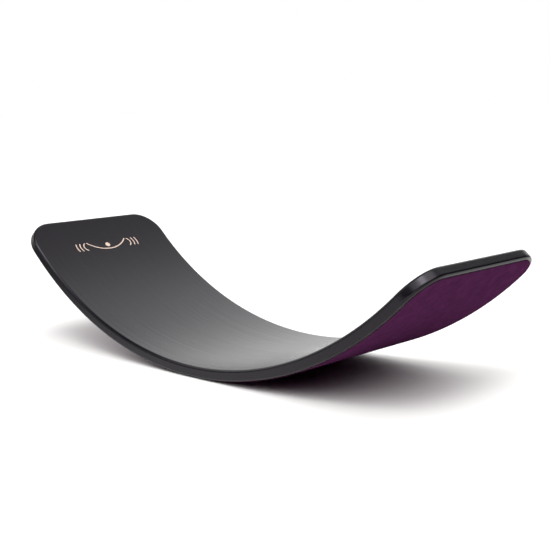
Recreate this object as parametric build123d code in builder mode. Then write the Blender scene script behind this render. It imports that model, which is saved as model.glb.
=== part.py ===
from build123d import *
from math import asin, cos, degrees, radians, sin
import os

# A balance board: a rocker pressed from beech veneers, lacquered, with felt glued under it.
# It lies on its felt, rocker down: +X runs along the board, Y across it, +Z up.
# The origin is at the bottom centre, on the line where the felt meets the floor.

# Driving dimensions, in millimetres and degrees.
overall_length = 900.0  # between the two raised ends
width = 300.0  # between the two straight long sides
deck_radius = 590.0  # the hollow of the deck, along the whole board
veneer_count = 11
veneer = 1.65  # one veneer, as pressed
corner_radius = 50  # the four corners, seen from above
arris_radius = 4.5  # both edges of the rim, rounded all the way round
film = 0.2  # the felt's self-adhesive backing
felt = 1.0
felt_margin = 6.0  # bare rim left round the felt

mark_depth = 0.5
mark_stroke = 2.2
mark_from_end = 68.0  # centre of the mark, along the deck
rocker_radius, rocker_half_angle = 62.0, 46.0  # the long arc of the mark
rocker_drop = 10.0  # from the mark's centre to the middle of the long arc
ball_radius = 5.0
ripple_radii = (10.0, 18.0, 26.0)
ripple_half_height = 8.5

back_radius = deck_radius + veneer_count * veneer
felt_radius = back_radius + film
floor_radius = felt_radius + felt
axis_height = floor_radius  # the deck and the felt curve about this line, along Y
half_width = width / 2
beyond = 1.0  # how far a cutting plate reaches past what it cuts

# The end faces are square to the deck, and the board is longest on their lower rounded arris.
tip_radius = back_radius - arris_radius
end_angle = degrees(
    asin((overall_length / 2 - arris_radius) / tip_radius) + asin(arris_radius / tip_radius)
)


def angle_of(arc_length, radius):
    return degrees(arc_length / radius)


def curved_plate(inner, outer, half_angle, half_span):
    """A plate of even thickness, curved about the board's axis."""
    with BuildPart() as plate:
        with BuildSketch(Plane.XZ):
            with BuildLine():
                upper = CenterArc((0, axis_height), inner, -90 - half_angle, 2 * half_angle)
                lower = CenterArc((0, axis_height), outer, -90 - half_angle, 2 * half_angle)
                Line(upper @ 0, lower @ 0)
                Line(upper @ 1, lower @ 1)
            make_face()
        extrude(amount=half_span, both=True)
    return plate.part


def end_edges(plate):
    """The four short straight edges where the sides meet the ends."""
    return plate.edges().filter_by(GeomType.LINE).filter_by(Axis.Y, reverse=True)


def layer(inner, outer):
    """A plate that holds one whole layer of the board and reaches past its rim."""
    return curved_plate(inner, outer, end_angle + angle_of(beyond, inner), half_width + beyond)


def veneer_name(number):
    """Veneers are counted from the deck down. Every other one has its grain across the board."""
    if number == 1:
        return "veneer_01_deck"
    if number == veneer_count:
        return f"veneer_{number:02d}_back"
    return f"veneer_{number:02d}_{'cross' if number % 2 == 0 else 'long'}"


os.makedirs("parts", exist_ok=True)

# The mark on the deck: a rocker, a ball and ripples beside them, let into the first veneer.
mark_angle = angle_of(mark_from_end, deck_radius) - end_angle
toward_axis = Vector(-sin(radians(mark_angle)), 0, cos(radians(mark_angle)))
mark_centre = Vector(0, 0, axis_height) - toward_axis * deck_radius
mark_plane = Plane(origin=mark_centre, x_dir=(0, 1, 0), z_dir=toward_axis)
rocker_tip = rocker_radius * sin(radians(rocker_half_angle))
mark_arcs = [
    CenterArc(
        (0, rocker_radius - rocker_drop), rocker_radius,
        -90 - rocker_half_angle, 2 * rocker_half_angle,
    )
]
for ripple_radius in ripple_radii:
    ripple_angle = degrees(asin(ripple_half_height / ripple_radius))
    for side, facing in ((1, 0), (-1, 180)):
        mark_arcs.append(
            CenterArc((side * rocker_tip, 0), ripple_radius, facing - ripple_angle, 2 * ripple_angle)
        )

with BuildPart() as deck_mark:
    add(layer(deck_radius, deck_radius + mark_depth))
    with BuildSketch(mark_plane):
        Circle(ball_radius)
        for arc in mark_arcs:
            SlotArc(arc, mark_stroke)
    extrude(amount=veneer, both=True, mode=Mode.INTERSECT)
deck_mark.part.label = "deck_mark"
export_step(deck_mark.part, "parts/deck_mark.step")

# The pressed and trimmed board, which the veneers are then cut from.
with BuildPart() as blank:
    add(curved_plate(deck_radius, back_radius, end_angle, half_width))
    fillet(end_edges(blank), corner_radius)
    fillet(blank.edges() - end_edges(blank), arris_radius)

for number in range(1, veneer_count + 1):
    inner_radius = deck_radius + (number - 1) * veneer
    with BuildPart() as ply:
        add(blank.part)
        add(layer(inner_radius, inner_radius + veneer), mode=Mode.INTERSECT)
        if number == 1:
            add(deck_mark.part, mode=Mode.SUBTRACT)
    ply.part.label = veneer_name(number)
    export_step(ply.part, f"parts/{veneer_name(number)}.step")

# The felt and its film share one outline, smaller than the board's by the bare rim.
with BuildPart() as underlay:
    felt_angle = end_angle - angle_of(felt_margin, back_radius)
    add(curved_plate(deck_radius, floor_radius, felt_angle, half_width - felt_margin))
    fillet(end_edges(underlay), corner_radius - felt_margin)

with BuildPart() as adhesive_film:
    add(underlay.part)
    add(layer(back_radius, felt_radius), mode=Mode.INTERSECT)
adhesive_film.part.label = "adhesive_film"
export_step(adhesive_film.part, "parts/adhesive_film.step")

with BuildPart() as felt_underlay:
    add(underlay.part)
    add(layer(felt_radius, floor_radius), mode=Mode.INTERSECT)
felt_underlay.part.label = "felt_underlay"
export_step(felt_underlay.part, "parts/felt_underlay.step")
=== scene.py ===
from math import asin, atan, cos, pi, radians, sin, sqrt

import bmesh
import bpy
import numpy as np
from mathutils import Matrix, Vector


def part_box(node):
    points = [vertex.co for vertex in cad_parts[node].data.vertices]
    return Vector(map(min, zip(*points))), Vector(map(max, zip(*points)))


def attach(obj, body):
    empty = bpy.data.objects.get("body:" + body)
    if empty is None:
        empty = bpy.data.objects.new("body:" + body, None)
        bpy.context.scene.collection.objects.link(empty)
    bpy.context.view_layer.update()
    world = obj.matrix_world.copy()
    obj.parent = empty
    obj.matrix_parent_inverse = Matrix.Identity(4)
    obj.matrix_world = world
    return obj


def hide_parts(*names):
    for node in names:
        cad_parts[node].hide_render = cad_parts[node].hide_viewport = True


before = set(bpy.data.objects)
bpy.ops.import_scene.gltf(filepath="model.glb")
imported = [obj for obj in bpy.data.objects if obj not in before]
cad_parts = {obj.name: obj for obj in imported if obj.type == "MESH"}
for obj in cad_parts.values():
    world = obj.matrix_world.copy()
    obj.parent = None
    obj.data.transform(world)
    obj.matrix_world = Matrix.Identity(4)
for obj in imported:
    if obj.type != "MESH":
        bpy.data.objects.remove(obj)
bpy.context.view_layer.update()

MM = 0.001
EASE = 0.004 * MM  # how far the ends stay inside the CAD model's

# ---------------------------------------------------------------- sizes, in metres and radians
# The board is part of a tube about a line along Y. Its layers' boxes give that line and the ends.
VENEERS = sorted(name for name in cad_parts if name.startswith("veneer_"))
CORE = VENEERS[len(VENEERS) // 2]


def lowest(node):
    """The height of a CAD node's lowest point."""
    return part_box(node)[0].z


def end_angle_of(node, thickness):
    """Half the angle that a layer with square ends covers, from its box."""
    low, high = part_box(node)
    angle = 0.0
    for _ in range(50):  # far more rounds than it needs to settle
        angle = 2 * atan((high.z - low.z - thickness * cos(angle)) / high.x)
    return angle


VENEER = lowest(VENEERS[0]) - lowest(VENEERS[1])
BOARD = VENEER * len(VENEERS)
CUT_ANGLE = end_angle_of(CORE, VENEER)
AXIS_Z = lowest(CORE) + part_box(CORE)[1].x / sin(CUT_ANGLE)
END_ANGLE = CUT_ANGLE - EASE / AXIS_Z
BACK_RADIUS = AXIS_Z - lowest(VENEERS[-1])
DECK_RADIUS = BACK_RADIUS - BOARD
FELT_RADIUS = AXIS_Z - lowest("adhesive_film")
FLOOR_RADIUS = AXIS_Z - lowest("felt_underlay")
HALF_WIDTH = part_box(CORE)[1].y
FELT_MARGIN = HALF_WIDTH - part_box("felt_underlay")[1].y
CORNER_RADIUS = 50 * MM
ARRIS_RADIUS = 4.5 * MM

SHARP_ANGLE = radians(35)  # edges that turn more than this stay crisp
GLUE_LINE = 0.05 * MM  # how far the lacquer sinks along each glue line of the rim
FELT_EDGE = 0.3 * MM  # rounding of the felt's cut edge
FELT_NAP = 0.12 * MM  # depth of the unevenness of the felt's face


# ---------------------------------------------------------------- mesh tools
def dress_mesh(mesh):
    """Smooths a mesh except at sharp edges, and stores its points' places on the board laid flat.

    A place is the distance along the deck, the distance across it and the depth below it.
    """
    points = np.empty(len(mesh.vertices) * 3, np.float32)
    mesh.vertices.foreach_get("co", points)
    x, y, z = points.reshape(-1, 3).T
    along = np.arctan2(x, AXIS_Z - z) * DECK_RADIUS
    depth = np.hypot(x, AXIS_Z - z) - DECK_RADIUS
    if "unrolled" not in mesh.attributes:
        mesh.attributes.new("unrolled", "FLOAT_VECTOR", "POINT")
    places = np.stack([along, y, depth], axis=-1).astype(np.float32)
    mesh.attributes["unrolled"].data.foreach_set("vector", places.ravel())
    mesh.shade_smooth()
    mesh.set_sharp_from_angle(angle=SHARP_ANGLE)


def new_piece(name, points, faces):
    """A mesh object from points and faces."""
    mesh = bpy.data.meshes.new(name)
    mesh.from_pydata([tuple(p) for p in points], [], faces)
    mesh.validate()
    dress_mesh(mesh)
    piece = bpy.data.objects.new(name, mesh)
    bpy.context.scene.collection.objects.link(piece)
    return piece


def on_curve(angle, y, radius):
    """The point of the tube at an angle from straight down, a place across and a radius."""
    return np.stack(
        [radius * np.sin(angle), y + 0 * angle, AXIS_Z - radius * np.cos(angle)], axis=-1
    )


def rows(inset, radius, along, corner):
    """Angle and half width of each row across the board, from one end to the other."""
    turn = np.linspace(pi / 2, 0, corner + 1)
    reach = CORNER_RADIUS - inset
    from_end = CORNER_RADIUS - reach * np.sin(turn)
    end_rows = END_ANGLE - np.arcsin(from_end / radius)
    end_half = HALF_WIDTH - CORNER_RADIUS + reach * np.cos(turn)
    middle = np.linspace(-end_rows[-1], end_rows[-1], along + 1)[1:-1]
    angles = np.concatenate([-end_rows, middle, end_rows[::-1]])
    halves = np.concatenate([end_half, np.full(along - 1, HALF_WIDTH - inset), end_half[::-1]])
    return angles, halves


def face_grid(inset, radius, along, corner, across):
    """Points of a layer's face, row by row."""
    angles, halves = rows(inset, radius, along, corner)
    share = np.linspace(-1, 1, across + 1)
    angle = np.repeat(angles[:, None], across + 1, axis=1)
    return on_curve(angle, halves[:, None] * share[None, :], radius)


def rim_of(grid):
    """The points round the edge of a grid, in order."""
    return np.concatenate([grid[:, 0], grid[-1, 1:], grid[-2::-1, -1], grid[0, -2:0:-1]])


def rim_numbers(count, across):
    """The numbers of the rim's points in a grid stored row by row."""
    numbers = np.arange(count * (across + 1)).reshape(count, across + 1)
    return [int(n) for n in rim_of(numbers[..., None])[:, 0]]


def closed_layer(name, profile, along, corner, across, shape=None):
    """A closed piece from its rim's profile, a list of (inset, radius) from the top face down.

    shape moves a grid's points, given the points and the radius.
    """
    points, faces = [], []
    count = along + 2 * corner + 1
    loop = rim_numbers(count, across)
    rings = []
    for step, (inset, radius) in enumerate(profile):
        grid = face_grid(inset, radius, along, corner, across)
        grid = shape(grid, radius) if shape else grid
        start = len(points)
        if step in (0, len(profile) - 1):
            points.extend(grid.reshape(-1, 3))
            rings.append([start + n for n in loop])
            for i in range(count - 1):
                for j in range(across):
                    a = start + i * (across + 1) + j
                    quad = [a, a + across + 1, a + across + 2, a + 1]
                    faces.append(quad if step == 0 else quad[::-1])
        else:
            points.extend(rim_of(grid))
            rings.append(list(range(start, start + len(loop))))
    for upper, lower in zip(rings, rings[1:]):
        for k in range(len(loop)):
            after = (k + 1) % len(loop)
            faces.append([upper[k], lower[k], lower[after], upper[after]])
    return new_piece(name, points, faces)


# ---------------------------------------------------------------- the board's rim
ARRIS_STEPS = 10
DECK_LOOPS = (4 * MM, 1 * MM)  # extra loops of points on the deck and the back, inside the arrises
BACK_LOOPS = (0.5 * MM, 1.5 * MM)


def inset_at(depth):
    """How far the rim lies inside the board's outline at a depth below the deck."""
    near = min(depth, BOARD - depth)
    if near >= ARRIS_RADIUS:
        return 0.0
    return ARRIS_RADIUS - sqrt(max(ARRIS_RADIUS**2 - (ARRIS_RADIUS - near) ** 2, 0.0))


def rim_depths():
    """Depths at which the rim's profile turns, evenly spaced round both arrises."""
    turns = [ARRIS_RADIUS * (1 - cos(k * pi / 2 / ARRIS_STEPS)) for k in range(ARRIS_STEPS + 1)]
    return turns + [BOARD - depth for depth in turns]


def veneer_profile(number):
    """(inset, radius) down the rim of one veneer, counted from 0 at the deck."""
    top, bottom = number * VENEER, (number + 1) * VENEER
    inside = [d for d in sorted(rim_depths()) if top + 2 * GLUE_LINE < d < bottom - 2 * GLUE_LINE]
    profile = []
    if number == 0:
        profile += [(ARRIS_RADIUS + inward, DECK_RADIUS) for inward in DECK_LOOPS]
        profile += [(ARRIS_RADIUS, DECK_RADIUS)]
        inside = [d for d in inside if d > 0]
        inside = sorted(set(inside + [d for d in rim_depths() if 0 < d <= 2 * GLUE_LINE]))
    else:
        profile += [(inset_at(top) + GLUE_LINE, DECK_RADIUS + top)]
        profile += [(inset_at(top + GLUE_LINE), DECK_RADIUS + top + GLUE_LINE)]
    profile += [(inset_at(d), DECK_RADIUS + d) for d in inside]
    if number == len(VENEERS) - 1:
        late = [d for d in rim_depths() if BOARD - 2 * GLUE_LINE <= d < BOARD]
        profile += [(inset_at(d), DECK_RADIUS + d) for d in sorted(late)]
        profile += [(ARRIS_RADIUS, BACK_RADIUS)]
        profile += [(ARRIS_RADIUS + inward, BACK_RADIUS) for inward in BACK_LOOPS]
    else:
        profile += [(inset_at(bottom - GLUE_LINE), DECK_RADIUS + bottom - GLUE_LINE)]
        profile += [(inset_at(bottom) + GLUE_LINE, DECK_RADIUS + bottom)]
    return profile


# ---------------------------------------------------------------- the mark
MARK_FROM_END = 68 * MM
MARK_STROKE = 2.2 * MM
MARK_SUNK = 0.1 * MM  # the fill's face below the deck
ROCKER_RADIUS, ROCKER_HALF_ANGLE, ROCKER_DROP = 62 * MM, radians(46), 10 * MM
BALL_RADIUS = 5 * MM
RIPPLE_RADII = (10 * MM, 18 * MM, 26 * MM)
RIPPLE_HALF_HEIGHT = 8.5 * MM
INLAY = 0.5 * MM
ROCKER_STEPS, RIPPLE_STEPS = 48, 12
CAP_STEPS, CAP_REACH = 6, 0.94  # a round end stops just short of its tip, so no face is a point
BAR_SHARES = np.linspace(-1, 1, 5)[None, :]  # points across a bar, as shares of its half width


def bar(half_width, length, steps):
    """Places along a bar with round ends, and its half width at each of them."""
    cap = half_width * np.sin(np.linspace(-pi / 2 * CAP_REACH, 0, CAP_STEPS + 1))[:-1]
    straight = np.linspace(-length / 2, length / 2, steps + 1)
    place = np.concatenate([-length / 2 + cap, straight, (length / 2 - cap)[::-1]])
    beyond = np.maximum(np.abs(place) - length / 2, 0)
    return place, np.sqrt(np.maximum(half_width**2 - beyond**2, 0))


def stroke(centre, radius, facing, half_angle, steps):
    """A bar bent to an arc, row by row: how far each point is across the deck and up it."""
    place, half = bar(MARK_STROKE / 2, 2 * radius * half_angle, steps)
    angle = facing + place / radius
    out = radius + half[:, None] * BAR_SHARES
    return centre[0] + out * np.cos(angle)[:, None], centre[1] + out * np.sin(angle)[:, None]


def ball():
    """A round spot in the middle of the mark: a bar with no length between its ends."""
    place, half = bar(BALL_RADIUS, 0, 0)
    up = half[:, None] * BAR_SHARES
    return place[:, None] + 0 * up, up


def mark_strokes():
    """Every stroke of the mark: a rocker, a ball in it and ripples beside them."""
    tip = ROCKER_RADIUS * sin(ROCKER_HALF_ANGLE)
    rocker_centre = (0, ROCKER_RADIUS - ROCKER_DROP)
    made = [stroke(rocker_centre, ROCKER_RADIUS, -pi / 2, ROCKER_HALF_ANGLE, ROCKER_STEPS)]
    made.append(ball())
    for radius in RIPPLE_RADII:
        angle = asin(RIPPLE_HALF_HEIGHT / radius)
        for side, facing in ((1, 0), (-1, pi)):
            made.append(stroke((side * tip, 0), radius, facing, angle, RIPPLE_STEPS))
    return made


def mark_mesh(name, top, bottom):
    """The mark's strokes as closed solids between two radii."""
    points, faces = [], []
    for across, up in mark_strokes():
        count, wide = across.shape
        angle = -(END_ANGLE - (MARK_FROM_END - up) / DECK_RADIUS)
        loop = rim_numbers(count, wide - 1)
        starts = []
        for radius in (top, bottom):
            starts.append(len(points))
            points.extend(on_curve(angle, across, radius).reshape(-1, 3))
        for start, upper in zip(starts, (True, False)):
            for i in range(count - 1):
                for j in range(wide - 1):
                    a = start + i * wide + j
                    quad = [a, a + wide, a + wide + 1, a + 1]
                    faces.append(quad if upper else quad[::-1])
        for k in range(len(loop)):
            a, b = loop[k], loop[(k + 1) % len(loop)]
            faces.append([starts[0] + a, starts[1] + a, starts[1] + b, starts[0] + b])
    return new_piece(name, points, faces)


def outward(piece):
    """Turns a closed piece's faces outward."""
    bm = bmesh.new()
    bm.from_mesh(piece.data)
    bmesh.ops.recalc_face_normals(bm, faces=bm.faces)
    bm.to_mesh(piece.data)
    bm.free()
    return piece


# ---------------------------------------------------------------- materials
def principled(name):
    """A material, its tree and its shader."""
    material = bpy.data.materials.new(name)
    material.use_nodes = True
    tree = material.node_tree
    return material, tree, tree.nodes["Principled BSDF"]


def unrolled_place(tree, scale):
    """Coordinates along the board, across it and through it, scaled."""
    place = tree.nodes.new("ShaderNodeAttribute")
    place.attribute_name = "unrolled"
    mapping = tree.nodes.new("ShaderNodeMapping")
    mapping.inputs["Scale"].default_value = scale
    tree.links.new(place.outputs["Vector"], mapping.inputs["Vector"])
    return mapping.outputs["Vector"]


def noise(tree, place, detail=3.0, roughness=0.5):
    """Noise with one cell to each unit of its place."""
    node = tree.nodes.new("ShaderNodeTexNoise")
    node.inputs["Scale"].default_value = 1.0
    node.inputs["Detail"].default_value = detail
    node.inputs["Roughness"].default_value = roughness
    tree.links.new(place, node.inputs["Vector"])
    return node.outputs["Fac"]


def ranged(tree, value, low, high, start=0.3, stop=0.7):
    """A value spread from start..stop to low..high."""
    node = tree.nodes.new("ShaderNodeMapRange")
    for socket, number in zip(("From Min", "From Max", "To Min", "To Max"), (start, stop, low, high)):
        node.inputs[socket].default_value = number
    tree.links.new(value, node.inputs["Value"])
    return node.outputs["Result"]


def added(tree, first, second):
    """The sum of two values."""
    node = tree.nodes.new("ShaderNodeMath")
    node.operation = "ADD"
    tree.links.new(first, node.inputs[0])
    tree.links.new(second, node.inputs[1])
    return node.outputs["Value"]


def mixed_colour(tree, value, first, second):
    """A colour that goes from the first to the second with a value."""
    node = tree.nodes.new("ShaderNodeMix")
    node.data_type = "RGBA"
    node.inputs[6].default_value = (*first, 1)
    node.inputs[7].default_value = (*second, 1)
    tree.links.new(value, node.inputs["Factor"])
    return node.outputs[2]


def blended(tree, value, first, second):
    """The same for two colours that nodes make."""
    node = tree.nodes.new("ShaderNodeMix")
    node.data_type = "RGBA"
    tree.links.new(value, node.inputs["Factor"])
    tree.links.new(first, node.inputs[6])
    tree.links.new(second, node.inputs[7])
    return node.outputs[2]


def bump(tree, shader, height, distance, after=None):
    """Gives a shader a height to shade by, on top of the one before it."""
    node = tree.nodes.new("ShaderNodeBump")
    node.inputs["Strength"].default_value = 1.0
    node.inputs["Distance"].default_value = distance
    tree.links.new(height, node.inputs["Height"])
    if after is not None:
        tree.links.new(after, node.inputs["Normal"])
    tree.links.new(node.outputs["Normal"], shader.inputs["Normal"])
    return node.outputs["Normal"]


# Cells per metre along the beech's grain and across it.
GRAIN_BANDS, GRAIN_STREAKS, GRAIN_FLECKS = (1.2, 14), (3.5, 100), (190, 1500)
STREAK_DEPTH, FLECK_DEPTH = 0.3 * MM, 0.012 * MM


def lacquered_beech(name, lengthwise):
    """Satin black lacquer with the beech's grain just showing through."""
    material, tree, shader = principled(name)

    def grain(cells):
        along, across = cells
        scale = (along, across, across) if lengthwise else (across, along, across)
        return unrolled_place(tree, scale)

    bands = noise(tree, grain(GRAIN_BANDS), 2, 0.5)
    streaks = noise(tree, grain(GRAIN_STREAKS), 5, 0.68)
    flecks = noise(tree, grain(GRAIN_FLECKS), 2, 0.5)
    colour = mixed_colour(
        tree, ranged(tree, streaks, 0, 1), (0.0015, 0.0012, 0.0021), (0.0035, 0.0029, 0.0044)
    )
    tree.links.new(colour, shader.inputs["Base Color"])
    satin = added(tree, ranged(tree, bands, 0.185, 0.215), ranged(tree, streaks, -0.025, 0.03))
    tree.links.new(satin, shader.inputs["Roughness"])
    shader.inputs["IOR"].default_value = 1.365
    shader.inputs["Specular Tint"].default_value = (0.95, 0.885, 1.0, 1)
    ribbed = bump(tree, shader, streaks, STREAK_DEPTH)
    sunk = ranged(tree, flecks, 1, 0, 0.62, 0.72)
    bump(tree, shader, sunk, FLECK_DEPTH, after=ribbed)
    return material


EDGE_PAINTED_SHADE = (0.5 * MM, 0.2 * MM)  # heights above the face where the painted shade on the cut edge fades out


def felt_material():
    """Pressed wool felt, plum, with painted shade darkening its cut edge."""
    material, tree, shader = principled("plum_felt")
    cloud = noise(tree, unrolled_place(tree, (60, 60, 60)), 4, 0.65)
    fibre = noise(tree, unrolled_place(tree, (480, 480, 480)), 5, 0.7)
    tone = added(tree, ranged(tree, cloud, 0, 0.5), ranged(tree, fibre, 0, 0.5))
    face = mixed_colour(tree, tone, (0.040, 0.0093, 0.034), (0.081, 0.0194, 0.069))
    cut = tree.nodes.new("ShaderNodeSeparateXYZ")
    tree.links.new(unrolled_place(tree, (1, 1, 1)), cut.inputs["Vector"])
    face_depth = FLOOR_RADIUS - DECK_RADIUS
    # Painted shade: the cut edge gets a much darker plum, standing in for the shade under the board
    # by the floor.
    painted_shade_edge = mixed_colour(tree, tone, (0.012, 0.0030, 0.010), (0.020, 0.0050, 0.017))
    dark_above, light_below = face_depth - EDGE_PAINTED_SHADE[0], face_depth - EDGE_PAINTED_SHADE[1]
    on_face = ranged(tree, cut.outputs["Z"], 0, 1, dark_above, light_below)
    colour = blended(tree, on_face, painted_shade_edge, face)
    tree.links.new(colour, shader.inputs["Base Color"])
    shader.inputs["Roughness"].default_value = 0.95
    shader.inputs["Specular IOR Level"].default_value = 0.0
    shader.inputs["Sheen Weight"].default_value = 0.01
    shader.inputs["Sheen Roughness"].default_value = 0.5
    shader.inputs["Sheen Tint"].default_value = (0.75, 0.3, 0.75, 1)
    bump(tree, shader, fibre, 0.15 * MM)
    return material


def film_material():
    """The felt's self-adhesive film."""
    material, tree, shader = principled("adhesive_film")
    grain = noise(tree, unrolled_place(tree, (300, 300, 300)), 2)
    colour = mixed_colour(tree, ranged(tree, grain, 0, 1), (0.10, 0.085, 0.075), (0.14, 0.12, 0.10))
    tree.links.new(colour, shader.inputs["Base Color"])
    shader.inputs["Roughness"].default_value = 0.5
    return material


def mark_material():
    """Pale matt filler, the colour of bare wood."""
    material, tree, shader = principled("mark_fill")
    grain = noise(tree, unrolled_place(tree, (200, 2200, 900)), 3)
    colour = mixed_colour(tree, ranged(tree, grain, 0, 1), (0.60, 0.44, 0.36), (0.76, 0.59, 0.50))
    tree.links.new(colour, shader.inputs["Base Color"])
    shader.inputs["Roughness"].default_value = 0.6
    bump(tree, shader, grain, 0.03 * MM)
    return material


# ---------------------------------------------------------------- pieces
def finished(piece, material, node):
    """Gives a piece its finish, hides the CAD node that it stands for and hangs the piece from the
    root body.
    """
    piece.data.materials.clear()
    piece.data.materials.append(material)
    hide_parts(node)
    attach(piece, "root")
    return piece


def without_specks(mesh):
    """Joins points that a cut has left closer together than a hundredth of its glue line."""
    speck = GLUE_LINE / 100
    bm = bmesh.new()
    bm.from_mesh(mesh)
    bmesh.ops.remove_doubles(bm, verts=bm.verts, dist=speck)
    bmesh.ops.dissolve_degenerate(bm, edges=bm.edges, dist=speck)
    bm.to_mesh(mesh)
    bm.free()


def engrave(piece):
    """Cuts the mark's recess into the first veneer."""
    cutter = outward(mark_mesh("cutter", DECK_RADIUS - MM, DECK_RADIUS + INLAY))
    cut = piece.modifiers.new("recess", "BOOLEAN")
    cut.operation, cut.solver, cut.object = "DIFFERENCE", "EXACT", cutter
    graph = bpy.context.evaluated_depsgraph_get()
    mesh = bpy.data.meshes.new_from_object(piece.evaluated_get(graph))
    piece.modifiers.clear()
    piece.data = mesh
    without_specks(mesh)
    dress_mesh(mesh)
    bpy.data.objects.remove(cutter)


ALONG, CORNER, ACROSS = 240, 14, 12  # a layer's steps: between its corners, round one and across

lengthwise = lacquered_beech("lacquered_beech_long", True)
crosswise = lacquered_beech("lacquered_beech_cross", False)
for number, node in enumerate(VENEERS):
    veneer = closed_layer(f"{node}_piece", veneer_profile(number), ALONG, CORNER, ACROSS)
    if number == 0:
        engrave(veneer)
    material = crosswise if number % 2 else lengthwise
    finished(veneer, material, node)

mark = outward(mark_mesh("deck_mark_fill", DECK_RADIUS + MARK_SUNK, DECK_RADIUS + INLAY))
finished(mark, mark_material(), "deck_mark")

film = closed_layer(
    "adhesive_film_sheet",
    [(FELT_MARGIN, BACK_RADIUS), (FELT_MARGIN, FELT_RADIUS)],
    ALONG, CORNER, ACROSS,
)
finished(film, film_material(), "adhesive_film")

FELT_ALONG, FELT_ACROSS = 380, 110
NAP_SEED = 7
nap = np.random.RandomState(NAP_SEED).rand(FELT_ALONG + 2 * CORNER + 1, FELT_ACROSS + 1)


def napped(points, radius):
    """Sinks the felt's exposed face a little, unevenly."""
    if radius < FLOOR_RADIUS:
        return points
    toward_axis = (np.array([0, 0, AXIS_Z]) - points) * (1, 0, 1) / radius
    return points + toward_axis * (nap * FELT_NAP)[..., None]


EDGE_STEPS = 4
edge_turn = [k * pi / 2 / EDGE_STEPS for k in range(EDGE_STEPS + 1)]
felt_profile = [(FELT_MARGIN, FELT_RADIUS)] + [
    (
        FELT_MARGIN + FELT_EDGE * (1 - cos(turn)),
        FLOOR_RADIUS - FELT_EDGE * (1 - sin(turn)),
    )
    for turn in edge_turn
]
felt = closed_layer("felt_sheet", felt_profile, FELT_ALONG, CORNER, FELT_ACROSS, napped)
finished(felt, felt_material(), "felt_underlay")


# ---------------------------------------------------------------- stage, light and camera
def matt(name):
    """A material with no gloss, its tree and its shader."""
    material, tree, shader = principled(name)
    shader.inputs["Roughness"].default_value = 1.0
    shader.inputs["Specular IOR Level"].default_value = 0.0
    return material, tree, shader


def level_sheet(name, corners, height, material):
    """A flat sheet that lies level."""
    mesh = bpy.data.meshes.new(name)
    mesh.from_pydata([(x, y, height) for x, y in corners], [], [(0, 1, 2, 3)])
    mesh.materials.append(material)
    piece = bpy.data.objects.new(name, mesh)
    bpy.context.scene.collection.objects.link(piece)
    return piece


FLOOR_HALF = 30.0
floor_corners = [(x * FLOOR_HALF, y * FLOOR_HALF) for x, y in ((-1, -1), (1, -1), (1, 1), (-1, 1))]
paper, _, paper_shader = matt("paper")
paper_shader.inputs["Base Color"].default_value = (0.89, 0.882, 0.868, 1)
floor = level_sheet("floor", floor_corners, 0, paper)

# A card on the floor beside the board, seen only in its reflections, darkens the low end of the
# near side. It fades from white to grey.
CARD_NEAR, CARD_FRONT, CARD_SIZE = -0.15, -0.2, 4.0
CARD_DARK_AT, CARD_WHITE, CARD_GREY = -1.15, 0.85, 0.12


def card_material():
    """White at the card's edge by the board, fading to grey away from it."""
    material, tree, shader = matt("grey_card")
    place = tree.nodes.new("ShaderNodeTexCoord")
    axes = tree.nodes.new("ShaderNodeSeparateXYZ")
    tree.links.new(place.outputs["Object"], axes.inputs["Vector"])
    fade = ranged(tree, axes.outputs["X"], 0, 1, CARD_NEAR, CARD_DARK_AT)
    colour = mixed_colour(tree, fade, (CARD_WHITE,) * 3, (CARD_GREY,) * 3)
    tree.links.new(colour, shader.inputs["Base Color"])
    return material


card_steps = ((0, 0), (-CARD_SIZE, 0), (-CARD_SIZE, -CARD_SIZE), (0, -CARD_SIZE))
card_corners = [(CARD_NEAR + x, CARD_FRONT + y) for x, y in card_steps]
card = level_sheet("grey_card", card_corners, MM, card_material())
card.visible_camera = card.visible_diffuse = card.visible_shadow = False

# Soft round lights a long way off: direction round and up from the board in degrees, the half
# angle that each covers, and its brightness.
LIGHTS = {
    "key": (303, 61, 14, 5.0),
    "front": (286, 47, 32, 2.5),
    "over_front": (300, 66, 38, 0.3),
    "right": (335, 60, 38, 3.3),
    "left": (186, 26, 33, 1.4),
    "front_left": (238, 28, 30, 0.75),
    "over_back": (90, 66, 38, 0.8),
    "high_back": (95, 38, 34, 0.2),
    "back": (130, 32, 38, 0.55),
    "low_back": (120, 15, 35, 1.02),
}
SOFT_CORE = 0.3  # share of a light's half angle at full brightness


def towards(azimuth, elevation):
    """The direction of a place in the sky."""
    azimuth, elevation = radians(azimuth), radians(elevation)
    return cos(azimuth) * cos(elevation), sin(azimuth) * cos(elevation), sin(elevation)


def sky_near(tree, direction, inner, outer, brightness):
    """Light from the part of the sky about a direction, fading from one angle to the other."""
    place = tree.nodes.new("ShaderNodeTexCoord")
    facing = tree.nodes.new("ShaderNodeVectorMath")
    facing.operation = "DOT_PRODUCT"
    facing.inputs[1].default_value = direction
    tree.links.new(place.outputs["Generated"], facing.inputs[0])
    fade = tree.nodes.new("ShaderNodeMapRange")
    fade.interpolation_type = "SMOOTHSTEP"
    for socket, number in (
        ("From Min", cos(outer)), ("From Max", cos(inner)), ("To Min", 0), ("To Max", brightness)
    ):
        fade.inputs[socket].default_value = number
    tree.links.new(facing.outputs["Value"], fade.inputs["Value"])
    return fade.outputs["Result"]


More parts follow.
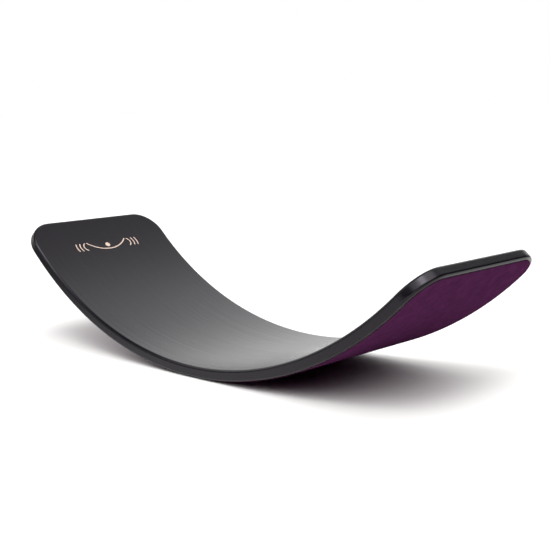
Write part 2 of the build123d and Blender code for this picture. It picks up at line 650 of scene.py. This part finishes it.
def soft_lights(tree):
    """The brightness of the sky from all the soft lights."""
    total = None
    for azimuth, elevation, half, brightness in LIGHTS.values():
        outer = radians(half)
        light = sky_near(tree, towards(azimuth, elevation), SOFT_CORE * outer, outer, brightness)
        total = added(tree, total, light) if total else light
    return total


def studio_world():
    """White to the eye; it lights the board from the soft lights alone."""
    world = bpy.data.worlds.new("studio")
    world.use_nodes = True
    tree = world.node_tree
    white = tree.nodes["Background"]
    white.inputs["Color"].default_value = (1, 1, 1, 1)
    lit = tree.nodes.new("ShaderNodeBackground")
    lit.inputs["Color"].default_value = (1, 1, 1, 1)
    tree.links.new(soft_lights(tree), lit.inputs["Strength"])
    path = tree.nodes.new("ShaderNodeLightPath")
    mix = tree.nodes.new("ShaderNodeMixShader")
    tree.links.new(path.outputs["Is Camera Ray"], mix.inputs["Fac"])
    tree.links.new(lit.outputs["Background"], mix.inputs[1])
    tree.links.new(white.outputs["Background"], mix.inputs[2])
    tree.links.new(mix.outputs["Shader"], tree.nodes["World Output"].inputs["Surface"])
    return world


bpy.context.scene.world = studio_world()
bpy.context.scene.view_settings.view_transform = "Standard"

AZIMUTH, ELEVATION, ROLL = radians(43.464), radians(9.154), radians(-0.997)
AIM = Vector((0.0476, 0, 0.1502))
DISTANCE = 1.7616
LENS, SENSOR = 70.61, 36.0


def camera_matrix():
    """The camera's place and turn: it looks at AIM from a distance, a little rolled."""
    back = Vector(
        (sin(AZIMUTH) * cos(ELEVATION), -cos(AZIMUTH) * cos(ELEVATION), sin(ELEVATION))
    )
    right = (-back).cross(Vector((0, 0, 1))).normalized()
    up = right.cross(-back)
    rolled_right = right * cos(ROLL) + up * sin(ROLL)
    rolled_up = up * cos(ROLL) - right * sin(ROLL)
    turn = Matrix((rolled_right, rolled_up, back)).transposed()
    return Matrix.Translation(AIM + back * DISTANCE) @ turn.to_4x4()


camera_data = bpy.data.cameras.new("camera")
camera_data.lens, camera_data.sensor_width = LENS, SENSOR
camera = bpy.data.objects.new("camera", camera_data)
camera.matrix_world = camera_matrix()
bpy.context.scene.collection.objects.link(camera)
bpy.context.scene.camera = camera
